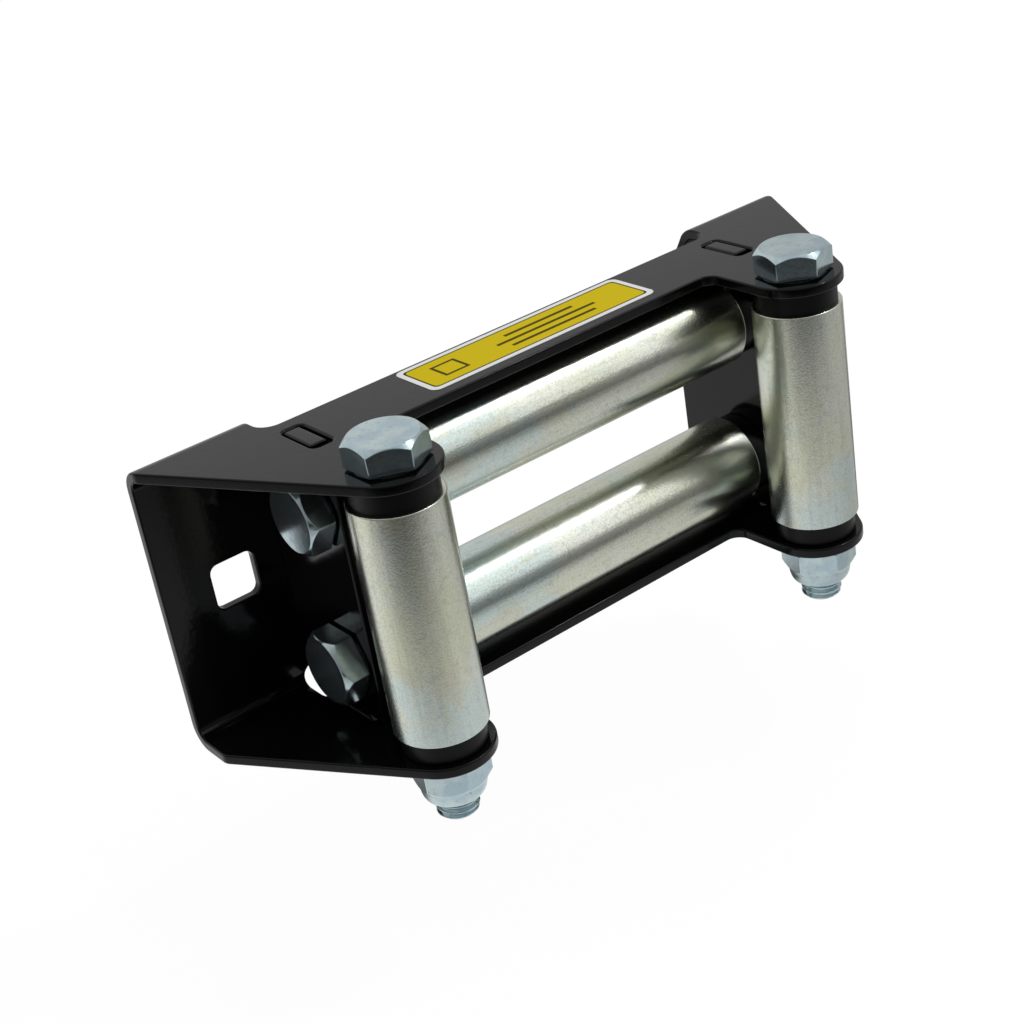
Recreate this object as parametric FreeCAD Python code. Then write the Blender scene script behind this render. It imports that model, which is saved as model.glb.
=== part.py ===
import FreeCAD
import Part
import math
import os

# Roller fairlead: a folded steel frame with two side plates carries four guide rollers.
# Two vertical rollers stand in front, two horizontal rollers lie behind them, and each
# turns on its own hexagon bolt.  A rope leaves through the opening between the four.
#
# Millimetres.  X runs along the frame, -Y is the front and +Z is up.  The origin lies on
# the rear mounting face, midway between the two square mounting holes.

# Mounting face
hole_spacing = 152.4
hole_side = 11.0
hole_corner = 2.0
end_margin = 18.05

# Folded sheet of the frame
sheet = 2.5
bend_inner = 3.0
end_corner = 3.0
relief_margin = 1.9

# Rollers and the room around them
vertical_diameter = 21.3
horizontal_diameter = 22.6
tube_wall = 2.6
sleeve_edge = 0.4
rope_gap = 15.4
flange_gap = 2.45
roller_gap = 3.05
horizontal_setback = 23.0
roller_inboard = 3.3

# Top and bottom flange outline
bridge_behind = 11.7
bridge_ahead = 8.5
lobe_lip = 0.7
lobe_root = 3.5
lower_end_reach = 7.5
lower_relief_reach = 2.7

# Side plates, which key into slots of both flanges
plate_thickness = 4.5
plate_to_hole = 14.7
plate_set_in = 1.3
plate_corner = 5.5
tab_length = 10.8
tab_behind = 1.2
tab_recess = 0.1
slot_length = 14.2
slot_behind = 0.5
slot_clearance = 0.65
slot_corner = 1.3

# Flanged bushings, pressed into both ends of each tube
bushing_flange = 4.9
bushing_step = 1.0
bushing_depth = 12.0
bushing_edge = 0.5
running_clearance = 0.08
end_play = 0.1

# Hexagon bolts
bolt_diameter = 10.0
hole_clearance = 0.4
across_flats = 16.0
head_height = 6.4
washer_face = 0.5
washer_face_inset = 0.6
hex_inset = 0.3
hex_drop = 1.4
thread_protrusion = 4.9
thread_end = 0.9

# Lock nuts with a nylon ring under a rolled collar
nut_hex = 7.2
nut_collar = 3.8
nut_lead_in = 0.4
insert_wall = 1.6
insert_height = 2.2
collar_wall = 1.0
collar_dome = 3.4
collar_land = 0.3
lip_thickness = 0.6
lip_overlap = 0.9

# Turn of each head and nut as tightened: degrees from its corner to the reference direction
left_head_turn = 31.0
right_head_turn = 20.0
left_nut_turn = 18.0
right_nut_turn = 13.0
horizontal_turn = 30.0

# Radii
vertical_radius = vertical_diameter / 2
horizontal_radius = horizontal_diameter / 2
bolt_radius = bolt_diameter / 2
bolt_hole = bolt_radius + hole_clearance
bend_outer = bend_inner + sheet
relief_radius = bend_inner + relief_margin
lobe_radius = vertical_radius + lobe_lip
hex_corner = across_flats / math.sqrt(3)
hex_circle = across_flats / 2 - hex_inset

# Places along X
hole_x = hole_spacing / 2
frame_end = hole_x + end_margin
plate_x = hole_x - plate_to_hole
plate_inner = plate_x - plate_thickness / 2
vertical_x = plate_x - roller_inboard

# Heights above and below the middle
horizontal_z = rope_gap / 2 + horizontal_radius
flange_inner = horizontal_z + horizontal_radius + flange_gap
flange_outer = flange_inner + sheet
tab_end = flange_outer - tab_recess

# Distances in front of the mounting face
vertical_setback = horizontal_setback + horizontal_radius + roller_gap + vertical_radius
bridge_rear = horizontal_setback - bridge_behind
bridge_front = horizontal_setback + bridge_ahead
plate_front = horizontal_setback + horizontal_radius - plate_set_in
frame_depth = vertical_setback + lobe_radius

# Places along Y of the side plates' tabs and their slots
tab_rear = tab_behind - horizontal_setback + tab_length / 2
tab_front = tab_rear - tab_length
slot_middle = slot_behind - horizontal_setback

nut_height = nut_hex + nut_collar


def in_plan(x, y):
    """Point of a drawing seen from above."""
    return FreeCAD.Vector(x, y, 0)


def in_section(y, z):
    """Point of a drawing seen along the frame's length."""
    return FreeCAD.Vector(0, y, z)


def in_elevation(x, z):
    """Point of a drawing seen from the front, also the half profile of a turned piece."""
    return FreeCAD.Vector(x, 0, z)


def rounded_face(corners, drawing):
    """Flat face with straight sides and a tangent arc at each corner (u, v, radius)."""
    count = len(corners)
    points = [drawing(u, v) for u, v, radius in corners]
    arcs = []
    for index, (u, v, radius) in enumerate(corners):
        corner = points[index]
        back = (points[index - 1] - corner).normalize()
        ahead = (points[(index + 1) % count] - corner).normalize()
        half_angle = back.getAngle(ahead) / 2
        inward = (back + ahead).normalize() if radius else FreeCAD.Vector()
        reach = radius / math.tan(half_angle)
        middle = corner + inward * (radius / math.sin(half_angle) - radius)
        arcs.append((corner + back * reach, middle, corner + ahead * reach))
    edges = []
    for index, (start, middle, end) in enumerate(arcs):
        if corners[index][2]:
            edges.append(Part.Arc(start, middle, end).toShape())
        following = arcs[(index + 1) % count][0]
        if not end.isEqual(following, 1e-6):
            edges.append(Part.LineSegment(end, following).toShape())
    return Part.Face(Part.Wire(edges))


def turned(corners):
    """Solid of revolution about Z from the half profile (radius, height, rounding)."""
    profile = rounded_face(corners, in_elevation)
    return profile.revolve(FreeCAD.Vector(), FreeCAD.Vector(0, 0, 1), 360)


def upright(face, bottom, top):
    """Prism from a face drawn in plan, between two heights."""
    prism = face.extrude(FreeCAD.Vector(0, 0, top - bottom))
    prism.translate(FreeCAD.Vector(0, 0, bottom))
    return prism


def through_web(face):
    """Prism from a face drawn in elevation, through the web and both bends."""
    prism = face.extrude(FreeCAD.Vector(0, 2 * bend_outer, 0))
    prism.translate(FreeCAD.Vector(0, -bend_outer, 0))
    return prism


def rectangle(middle_u, middle_v, half_u, half_v, radius, drawing):
    """Rounded rectangular face about a middle point."""
    signs = ((-1, -1), (1, -1), (1, 1), (-1, 1))
    corners = [(middle_u + a * half_u, middle_v + b * half_v, radius) for a, b in signs]
    return rounded_face(corners, drawing)


def lobe_tip(end_depth):
    """Corner that the lobe's arc rounds off, so that the arc is concentric with its roller.

    One side drops straight from the bridge.  The other runs from the frame's end, at
    end_depth in front of the mounting face, to touch the circle about the roller's axis.
    """
    across = vertical_x - frame_end
    down = end_depth - vertical_setback
    distance = math.hypot(across, down)
    heading = math.atan2(down, across) + math.asin(lobe_radius / distance)
    side_x = vertical_x - lobe_radius
    drop = (side_x - frame_end) * math.tan(heading)
    return side_x, drop - end_depth


def flange_outline(end_depth):
    """Outline of a flange in plan: rear edge, tapered ends, roller lobes and bridge."""
    tip_x, tip_y = lobe_tip(end_depth)
    right = [
        (frame_end, 0, 0),
        (frame_end, -end_depth, end_corner),
        (tip_x, tip_y, lobe_radius),
        (tip_x, -bridge_front, lobe_root),
    ]
    left = [(-x, y, radius) for x, y, radius in reversed(right)]
    return rounded_face(right + left, in_plan)


def channel():
    """Channel of constant section: web at the rear, two flanges and rounded bends."""
    section = rounded_face(
        [
            (0, -flange_outer, bend_outer),
            (0, flange_outer, bend_outer),
            (-frame_depth, flange_outer, 0),
            (-frame_depth, flange_inner, 0),
            (-sheet, flange_inner, bend_inner),
            (-sheet, -flange_inner, bend_inner),
            (-frame_depth, -flange_inner, 0),
            (-frame_depth, -flange_outer, 0),
        ],
        in_section,
    )
    section.translate(FreeCAD.Vector(-frame_end, 0, 0))
    return section.extrude(FreeCAD.Vector(2 * frame_end, 0, 0))


def flange_notch(depth):
    """Notch in a flange behind its bridge, as deep as given and with round inner corners."""
    half_width = plate_x + relief_radius
    return rounded_face(
        [
            (-half_width, -depth, relief_radius),
            (half_width, -depth, relief_radius),
            (half_width, frame_depth, 0),
            (-half_width, frame_depth, 0),
        ],
        in_plan,
    )


def window_cuts():
    """Rope window through the web and bends, with a round relief at each of its corners."""
    opening = rectangle(0, 0, plate_x, 2 * flange_outer, 0, in_elevation)
    cuts = [through_web(opening)]
    cuts.append(upright(flange_notch(bridge_rear), flange_inner, 2 * flange_outer))
    lower_notch = flange_notch(bridge_rear + lower_relief_reach)
    cuts.append(upright(lower_notch, -2 * flange_outer, -flange_inner))
    for side in (-1, 1):
        for level in (-1, 1):
            near = level * (flange_inner - relief_radius)
            far = level * 2 * flange_outer
            slot = rounded_face(
                [
                    (side * plate_x - relief_radius, near, relief_radius),
                    (side * plate_x + relief_radius, near, relief_radius),
                    (side * plate_x + relief_radius, far, 0),
                    (side * plate_x - relief_radius, far, 0),
                ],
                in_elevation,
            )
            cuts.append(through_web(slot))
    return cuts


def frame():
    """One-piece folded frame; the lower flange's ends reach further forward."""
    upper_outline = upright(flange_outline(bend_outer), 0, 2 * flange_outer)
    lower_outline = upright(flange_outline(bend_outer + lower_end_reach), -2 * flange_outer, 0)
    outline = upper_outline.fuse(lower_outline)
    cuts = window_cuts()
    for side in (-1, 1):
        square = rectangle(side * hole_x, 0, hole_side / 2, hole_side / 2, hole_corner, in_elevation)
        cuts.append(through_web(square))
        half_width = plate_thickness / 2 + slot_clearance
        slot = rectangle(
            side * plate_x, slot_middle, half_width, slot_length / 2, slot_corner, in_plan
        )
        cuts.append(upright(slot, -2 * flange_outer, 2 * flange_outer))
        hole_start = FreeCAD.Vector(side * vertical_x, -vertical_setback, -2 * flange_outer)
        cuts.append(Part.makeCylinder(bolt_hole, 4 * flange_outer, hole_start))
    return channel().common(outline).cut(cuts).removeSplitter()


def side_plate(side):
    """Side plate between the flanges, with a tab above and below and two bolt holes."""
    upper = [
        (-sheet, flange_inner, plate_corner),
        (tab_rear, flange_inner, 0),
        (tab_rear, tab_end, 0),
        (tab_front, tab_end, 0),
        (tab_front, flange_inner, 0),
        (-plate_front, flange_inner, 0),
    ]
    lower = [(y, -z, radius) for y, z, radius in reversed(upper)]
    outline = rounded_face(upper + lower, in_section)
    outline.translate(FreeCAD.Vector(side * plate_x - plate_thickness / 2, 0, 0))
    plate = outline.extrude(FreeCAD.Vector(plate_thickness, 0, 0))
    along = FreeCAD.Vector(1, 0, 0)
    for level in (-1, 1):
        start = FreeCAD.Vector(
            side * plate_x - plate_thickness, -horizontal_setback, level * horizontal_z
        )
        plate = plate.cut(Part.makeCylinder(bolt_hole, 2 * plate_thickness, start, along))
    return plate


def sleeve(radius, room):
    """Plain tube of a roller, centred on the origin along Z; room is the clear span."""
    half = room / 2 - end_play - bushing_flange
    bore = radius - tube_wall
    return turned(
        [
            (bore, -half, 0),
            (radius - sleeve_edge, -half, 0),
            (radius, -half + sleeve_edge, 0),
            (radius, half - sleeve_edge, 0),
            (radius - sleeve_edge, half, 0),
            (bore, half, 0),
        ]
    )


def bushing(radius, room, end):
    """Flanged bushing in the tube's upper (end 1) or lower (end -1) mouth."""
    outer = room / 2 - end_play
    seat = outer - bushing_flange
    rim = radius - bushing_step
    bore = bolt_radius + running_clearance
    spigot = radius - tube_wall
    profile = [
        (bore, seat - bushing_depth, 0),
        (spigot, seat - bushing_depth, 0),
        (spigot, seat, 0),
        (rim, seat, 0),
        (rim, outer - bushing_edge, 0),
        (rim - bushing_edge, outer, 0),
        (bore, outer, 0),
    ]
    return turned([(r, end * z, rounding) for r, z, rounding in profile])


def hexagon(bottom, top, chamfered_below):
    """Hexagon prism with a corner on +X; a cone chamfers its top and, if asked, its bottom."""
    corners = []
    for index in range(6):
        angle = math.radians(60 * index)
        corners.append((hex_corner * math.cos(angle), hex_corner * math.sin(angle), 0))
    prism = upright(rounded_face(corners, in_plan), bottom, top)
    beyond = hex_corner + hex_inset
    drop = hex_drop * (beyond - hex_circle) / (hex_corner - hex_circle)
    lower = [(beyond, bottom, 0)]
    if chamfered_below:
        lower = [(hex_circle, bottom, 0), (beyond, bottom + drop, 0)]
    upper = [(beyond, top - drop, 0), (hex_circle, top, 0)]
    return prism.common(turned([(0, bottom, 0)] + lower + upper + [(0, top, 0)]))


def bolt(grip):
    """Hexagon bolt: the head's washer face rests on Z = 0 and the shank runs down."""
    length = grip + nut_height + thread_protrusion
    face_radius = across_flats / 2 - washer_face_inset
    stem = turned(
        [
            (0, -length, 0),
            (bolt_radius - thread_end, -length, 0),
            (bolt_radius, -length + thread_end, 0),
            (bolt_radius, 0, 0),
            (face_radius, 0, 0),
            (face_radius, washer_face, 0),
            (0, washer_face, 0),
        ]
    )
    return hexagon(washer_face, head_height, False).fuse(stem).removeSplitter()


def nut_cavity():
    """Inside of the nut as a solid: lead-in, thread bore, insert pocket and lip opening."""
    pocket = bolt_radius + insert_wall
    lip_bottom = nut_height - lip_thickness
    pocket_bottom = lip_bottom - insert_height
    return turned(
        [
            (0, 0, 0),
            (bolt_radius + nut_lead_in, 0, 0),
            (bolt_radius, nut_lead_in, 0),
            (bolt_radius, pocket_bottom, 0),
            (pocket, pocket_bottom, 0),
            (pocket, lip_bottom, 0),
            (pocket - lip_overlap, lip_bottom, 0),
            (pocket - lip_overlap, nut_height, 0),
            (0, nut_height, 0),
        ]
    )


def lock_nut():
    """Lock nut standing on Z = 0: chamfered hexagon below a collar rolled over into a dome."""
    collar_radius = bolt_radius + insert_wall + collar_wall
    narrowing = collar_wall + lip_overlap - collar_land
    profile = [(0, nut_hex / 2, 0), (collar_radius, nut_hex / 2, 0)]
    for degrees in (0, 30, 60, 90):
        angle = math.radians(degrees)
        inset = narrowing * (1 - math.cos(angle))
        drop = collar_dome * (1 - math.sin(angle))
        profile.append((collar_radius - inset, nut_height - drop, 0))
    collar = turned(profile + [(0, nut_height, 0)])
    return hexagon(0, nut_hex, True).fuse(collar).cut(nut_cavity()).removeSplitter()


def nut_insert():
    """Nylon ring inside the nut's collar, gripping the thread."""
    top = nut_height - lip_thickness
    outer = bolt_radius + insert_wall
    return turned(
        [
            (bolt_radius, top - insert_height, 0),
            (outer, top - insert_height, 0),
            (outer, top, 0),
            (bolt_radius, top, 0),
        ]
    )


def spun(shape, degrees):
    """Shape turned about its own Z axis."""
    return shape.rotated(FreeCAD.Vector(), FreeCAD.Vector(0, 0, 1), degrees)


def flipped(shape):
    """Shape turned upside down about X."""
    return shape.rotated(FreeCAD.Vector(), FreeCAD.Vector(1, 0, 0), 180)


def roller_set(name, ends, radius, room, wall, head_turn, nut_turn, middle, head_way):
    """Nodes of one roller on its bolt, placed with the bolt's head towards head_way.

    room is the clear span between the walls that carry the bolt, and wall is their thickness.
    """
    head_end, nut_end = ends
    grip = room + 2 * wall
    head_seat = FreeCAD.Vector(0, 0, grip / 2)
    pieces = {
        name + "_sleeve": sleeve(radius, room),
        name + "_" + head_end + "_bushing": bushing(radius, room, 1),
        name + "_" + nut_end + "_bushing": bushing(radius, room, -1),
        name + "_bolt": spun(bolt(grip), head_turn).translated(head_seat),
        name + "_nut": spun(flipped(lock_nut()), nut_turn).translated(-head_seat),
        name + "_nut_insert": flipped(nut_insert()).translated(-head_seat),
    }
    turn = FreeCAD.Rotation(FreeCAD.Vector(0, 0, 1), head_way)
    placement = FreeCAD.Placement(middle, turn)
    return {node: shape.transformed(placement.toMatrix()) for node, shape in pieces.items()}


def build():
    """All nodes of the fairlead by name."""
    nodes = {
        "frame": frame(),
        "left_side_plate": side_plate(-1),
        "right_side_plate": side_plate(1),
    }
    up = FreeCAD.Vector(0, 0, 1)
    for name, side, head_turn, nut_turn in (
        ("left_roller", -1, left_head_turn, left_nut_turn),
        ("right_roller", 1, right_head_turn, right_nut_turn),
    ):
        middle = FreeCAD.Vector(side * vertical_x, -vertical_setback, 0)
        nodes.update(
            roller_set(
                name,
                ("top", "bottom"),
                vertical_radius,
                2 * flange_inner,
                sheet,
                head_turn,
                nut_turn,
                middle,
                up,
            )
        )
    to_left = FreeCAD.Vector(-1, 0, 0)
    for name, level in (("upper_roller", 1), ("lower_roller", -1)):
        middle = FreeCAD.Vector(0, -horizontal_setback, level * horizontal_z)
        nodes.update(
            roller_set(
                name,
                ("left", "right"),
                horizontal_radius,
                2 * plate_inner,
                plate_thickness,
                horizontal_turn,
                horizontal_turn,
                middle,
                to_left,
            )
        )
    return nodes


os.makedirs("parts", exist_ok=True)
for node, shape in build().items():
    shape.exportStep(os.path.join("parts", node + ".step"))
    print(node, "valid", shape.isValid(), "solids", len(shape.Solids), "mm3", round(shape.Volume, 1))
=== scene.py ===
"""Looks of a roller fairlead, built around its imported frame.

Metres, in the part's own frame: X runs along the folded frame, -Y is the front, +Z is up and the
origin lies on the rear mounting face, midway between the two square mounting holes.
"""

import logging
import math
from dataclasses import dataclass, field
from enum import Enum

import bmesh
import bpy
import numpy as np
from mathutils import Matrix, Vector


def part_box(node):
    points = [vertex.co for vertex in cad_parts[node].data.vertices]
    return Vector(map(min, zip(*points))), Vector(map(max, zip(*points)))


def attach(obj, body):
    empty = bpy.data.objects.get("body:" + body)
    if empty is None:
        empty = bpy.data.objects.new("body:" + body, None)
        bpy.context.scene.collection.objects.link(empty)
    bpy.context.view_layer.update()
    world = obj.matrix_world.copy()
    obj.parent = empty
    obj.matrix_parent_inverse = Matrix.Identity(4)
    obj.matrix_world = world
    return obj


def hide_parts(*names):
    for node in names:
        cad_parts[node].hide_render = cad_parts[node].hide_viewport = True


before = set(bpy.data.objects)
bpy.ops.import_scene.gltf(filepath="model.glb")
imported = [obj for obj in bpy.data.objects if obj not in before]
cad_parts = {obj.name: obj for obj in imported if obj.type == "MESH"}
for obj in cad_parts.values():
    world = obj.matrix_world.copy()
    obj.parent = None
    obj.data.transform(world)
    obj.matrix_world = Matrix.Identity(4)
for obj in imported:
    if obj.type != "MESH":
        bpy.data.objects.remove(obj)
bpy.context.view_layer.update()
log = logging.getLogger("fairlead")

Pair = tuple[float, float]
Triple = tuple[float, float, float]

MM = 0.001
FULL_TURN = 2 * math.pi
CORNER_STEP = 0.33 * MM  # radius for each point of a rectangle's corner
ROUND_END = 0.999  # a slot's round end keeps a hair of straight between its arcs
HOLE_POINTS = 64
WELD = 1e-6  # points of a seam or pole nearer than this are one
CARVED_WELD = 0.01 * MM  # the same after a cut
SHARP = math.radians(28)  # edges bent by more than this are rounded
FLATS_WEIGHT = 80  # how much a face's size counts in the shading
WHITE = (1.0, 1.0, 1.0)
DEEP_BLACK = (0.0018, 0.0018, 0.002)
PALE_BLACK = (0.004, 0.004, 0.0043)
LABEL_HALF = (32.5 * MM, 8.0 * MM)
UPRIGHT_SHIFT, LYING_SHIFT = 0.31, 0.47  # so that no two rollers show the same clouds


def linked(name: str, data: bpy.types.ID) -> bpy.types.Object:
    """New object in the scene.

    Args:
        name: its name.
        data: its mesh, lamp or camera.

    Returns:
        The object.
    """
    made = bpy.data.objects.new(name, data)
    bpy.context.scene.collection.objects.link(made)
    return made


def unit(vectors: np.ndarray) -> np.ndarray:
    """Vectors divided by their length, along the last axis."""
    return vectors / np.linalg.norm(vectors, axis=-1, keepdims=True)


def rounded_path(
    corners: np.ndarray, radii: list[float], steps: int | list[int] = 6, closed: bool = True
) -> np.ndarray:
    """Straight runs joined by circular arcs.

    At a corner of half angle h the arc of radius r starts r / tan h before the corner, and its
    centre lies r / sin h from the corner along the bisector.  The arc's points turn evenly from
    the first tangent point to the last.

    Args:
        corners: array (corner, ..., 2); further axes hold variants of the same path.
        radii: one radius for each corner; 0 keeps it sharp.
        steps: points on each arc, one number for all or one for each corner.
        closed: whether the last corner joins the first.

    Returns:
        Array (point, ..., 2).
    """
    runs = []
    last = len(corners) - 1
    counts = [steps] * len(corners) if isinstance(steps, int) else steps
    for index, radius in enumerate(radii):
        corner = corners[index]
        if radius == 0 or (not closed and index in (0, last)):
            runs.append(corner[None])
            continue
        back = unit(corners[index - 1] - corner)
        ahead = unit(corners[(index + 1) % len(corners)] - corner)
        half = np.arccos(np.clip((back * ahead).sum(-1, keepdims=True), -1, 1)) / 2
        centre = corner + unit(back + ahead) * radius / np.sin(half)
        first = corner + back * radius / np.tan(half) - centre
        final = corner + ahead * radius / np.tan(half) - centre
        turn = math.pi - 2 * half
        share = np.linspace(0, 1, counts[index]).reshape((-1,) + (1,) * corner.ndim)
        swing = (np.sin((1 - share) * turn) * first + np.sin(share * turn) * final) / np.sin(turn)
        runs.append(centre + swing)
    return np.concatenate(runs)


def rectangle(middle: Pair, half: Pair, radius: float, spread: float = 0.0) -> np.ndarray:
    """Rounded rectangle as an outline, with as many points for any spread.

    Args:
        middle: its centre.
        half: its half sizes.
        radius: radius of its corners.
        spread: how far the outline is moved outwards.

    Returns:
        Array (point, 2).
    """
    reach = np.array(half) + spread
    corners = np.array(middle) + np.array([(-1, -1), (1, -1), (1, 1), (-1, 1)]) * reach
    return rounded_path(corners, [radius + spread] * 4, steps=max(2, round(radius / CORNER_STEP)))


def round_hole(middle: Pair, radius: float) -> np.ndarray:
    """Bolt hole as an outline (point, 2): r cos a and r sin a about its middle."""
    turn = np.linspace(0, FULL_TURN, HOLE_POINTS, endpoint=False)
    return np.stack([np.cos(turn), np.sin(turn)], axis=-1) * radius + middle


def grid_faces(rows: int, columns: int, rows_close: bool, columns_close: bool) -> np.ndarray:
    """Quads that join each point of a grid to the next in its row and in its column.

    Args:
        rows: points along the first axis.
        columns: points along the second axis.
        rows_close: whether the last row joins the first.
        columns_close: whether the last column joins the first.

    Returns:
        Array (face, 4) of point numbers.
    """
    row = np.arange(rows if rows_close else rows - 1)
    column = np.arange(columns if columns_close else columns - 1)
    row, column = np.meshgrid(row, column, indexing="ij")
    next_row, next_column = (row + 1) % rows, (column + 1) % columns
    quads = [
        row * columns + column, next_row * columns + column,
        next_row * columns + next_column, row * columns + next_column,
    ]
    return np.stack(quads, axis=-1).reshape(-1, 4)


class Way(Enum):
    """How a piece's own frame is turned into the part's frame."""

    UPRIGHT = "upright"
    LYING = "lying"


class Plane(Enum):
    """The two axes that an outline is drawn in, by their numbers."""

    XY = (0, 1)
    XZ = (0, 2)
    YZ = (1, 2)


class Cut(Enum):
    """What a cut keeps: the inside of its tools, or the outside."""

    INSIDE = "INTERSECT"
    OUTSIDE = "DIFFERENCE"


@dataclass(frozen=True)
class Place:
    """Where a piece stands: its middle, its way round, and a shift for its surface pattern.

    A lying piece's pattern is turned end for end.
    """

    middle: Triple = (0.0, 0.0, 0.0)
    way: Way = Way.UPRIGHT
    pattern_shift: float = 0.0

    def put(self, points: np.ndarray) -> np.ndarray:
        """Points in the part's frame; a lying piece's own Z points to -X and its own X to +Z.

        Args:
            points: array (point, 3) in the piece's own frame.

        Returns:
            Array (point, 3).
        """
        if self.way is Way.LYING:
            points = np.stack([-points[:, 2], points[:, 1], points[:, 0]], axis=-1)
        return points + np.array(self.middle)


class Shape:
    """Points and faces of one closed mesh, in the piece's own frame."""

    def __init__(self, points: np.ndarray, faces: list) -> None:
        """Keeps points (n, 3) and faces, each a list of point numbers."""
        self.points = np.asarray(points, float).reshape(-1, 3)
        self.faces = [list(map(int, face)) for face in faces]

    @classmethod
    def around(
        cls, radius: np.ndarray, height: np.ndarray, angle: np.ndarray, closed: bool
    ) -> "Shape":
        """Surface about Z: x = r cos a, y = r sin a, z = h, on a grid of profile by angle.

        Args:
            radius: array (profile, angle).
            height: array (profile, angle).
            angle: array (angle,), in radians, all the way round without its end.
            closed: whether the profile is a loop; if not, it starts and ends on the axis.

        Returns:
            The closed shape.
        """
        points = np.stack([radius * np.cos(angle), radius * np.sin(angle), height], axis=-1)
        return cls(points, grid_faces(*radius.shape, closed, True))

    @classmethod
    def by_rim(
        cls, angle: np.ndarray, rim: np.ndarray, corners: list[tuple], closed: bool, steps: int
    ) -> "Shape":
        """Surface about Z with a half profile of its own for each rim point, rounded at corners.

        Args:
            angle: array (rim point,), in radians.
            rim: array (rim point,) of radii.
            corners: radius, height and rounding of each corner; the first two are numbers or
                arrays like the rim.
            closed: whether the profile is a loop; if not, it starts and ends on the axis.
            steps: points on each rounding.

        Returns:
            The closed shape.
        """
        rows = [
            np.stack(np.broadcast_arrays(radius, height, rim)[:2], axis=-1)
            for radius, height, _ in corners
        ]
        profile = rounded_path(np.stack(rows), [corner[2] for corner in corners], steps, closed)
        return cls.around(profile[..., 0], profile[..., 1], angle, closed)

    @classmethod
    def turned(cls, corners: list[Triple], columns: int) -> "Shape":
        """Surface of revolution of a closed half profile, the same at every angle.

        Args:
            corners: radius, height and rounding of each corner.
            columns: points all the way round.

        Returns:
            The closed shape.
        """
        profile = rounded_path(np.array(corners)[:, :2], [corner[2] for corner in corners])
        angle = np.linspace(0, FULL_TURN, columns, endpoint=False)
        level = np.ones(columns)
        return cls.around(profile[:, :1] * level, profile[:, 1:] * level, angle, True)

    @classmethod
    def prism(cls, outline: np.ndarray, plane: Plane, *levels: float) -> "Shape":
        """Prism: an outline drawn in two axes and carried along the third through its levels.

        Args:
            outline: the points in order, array (point, 2), or (level, point, 2) if it changes.
            plane: the outline's two axes.
            levels: places along the third axis.

        Returns:
            The closed shape.
        """
        axes = list(plane.value)
        count, rings = outline.shape[-2], len(levels)
        points = np.empty((rings, count, 3))
        points[..., axes] = outline
        points[..., 3 - sum(axes)] = np.array(levels)[:, None]
        sides = grid_faces(rings, count, False, True).tolist()
        last = (rings - 1) * count
        ends = [list(range(count))[::-1], list(range(last, last + count))]
        return cls(points, sides + ends)

    def joined(self, other: "Shape") -> "Shape":
        """Both shapes in one mesh."""
        shifted = [[number + len(self.points) for number in face] for face in other.faces]
        return Shape(np.concatenate([self.points, other.points]), self.faces + shifted)

    def lifted(self, height: float, flipped: bool = False) -> "Shape":
        """The shape moved along Z, after half a turn about X if it is flipped."""
        sign = -1 if flipped else 1
        return Shape(self.points * (1, sign, sign) + (0, 0, height), self.faces)

    def mesh(self, name: str, place: Place) -> bpy.types.Object:
        """Object at the origin, with its place in its mesh and its own coordinates kept.

        Doubles at poles and seams are merged and the faces turned outwards.  The attribute
        "own" holds each point in the piece's own frame, for patterns that follow the piece.

        Args:
            name: the object's name.
            place: where the piece stands.

        Returns:
            The linked object.
        """
        mesh = bpy.data.meshes.new(name)
        mesh.from_pydata(place.put(self.points).tolist(), [], self.faces)
        own = mesh.attributes.new("own", "FLOAT_VECTOR", "POINT")
        ends = 1 if place.way is Way.UPRIGHT else -1
        shifted = self.points * (1, 1, ends) + (place.pattern_shift, 0, 0)
        own.data.foreach_set("vector", shifted.astype(np.float32).ravel())
        work = bmesh.new()
        work.from_mesh(mesh)
        bmesh.ops.remove_doubles(work, verts=work.verts, dist=WELD)
        bmesh.ops.recalc_face_normals(work, faces=work.faces)
        work.to_mesh(mesh)
        work.free()
        mesh.shade_smooth()
        return linked(name, mesh)


def carve(block: bpy.types.Object, cut: Cut, shapes: list[Shape]) -> None:
    """Cuts a closed mesh by shapes with exact booleans, applied in order.

    A cut adds points, so each point's place is written to the attribute "own" again.

    Args:
        block: the mesh that is cut.
        cut: what is kept.
        shapes: the tools.
    """
    tools = [shape.mesh("tool", Place()) for shape in shapes]
    for tool in tools:
        step = block.modifiers.new("carve", "BOOLEAN")
        step.operation, step.solver, step.object = cut.value, "EXACT", tool
    graph = bpy.context.evaluated_depsgraph_get()
    carved = bpy.data.meshes.new_from_object(block.evaluated_get(graph))
    block.modifiers.clear()
    block.data = carved
    for tool in tools:
        bpy.data.objects.remove(tool)
    places = np.empty(len(carved.vertices) * 3, np.float32)
    carved.vertices.foreach_get("co", places)
    own = carved.attributes.get("own") or carved.attributes.new("own", "FLOAT_VECTOR", "POINT")
    own.data.foreach_set("vector", places)


def flatten_shading(piece: bpy.types.Object) -> None:
    """Lets large flat faces decide the normals at their edges, so flats reflect as flats."""
    piece.modifiers.new("flats", "WEIGHTED_NORMAL").weight = FLATS_WEIGHT


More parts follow.
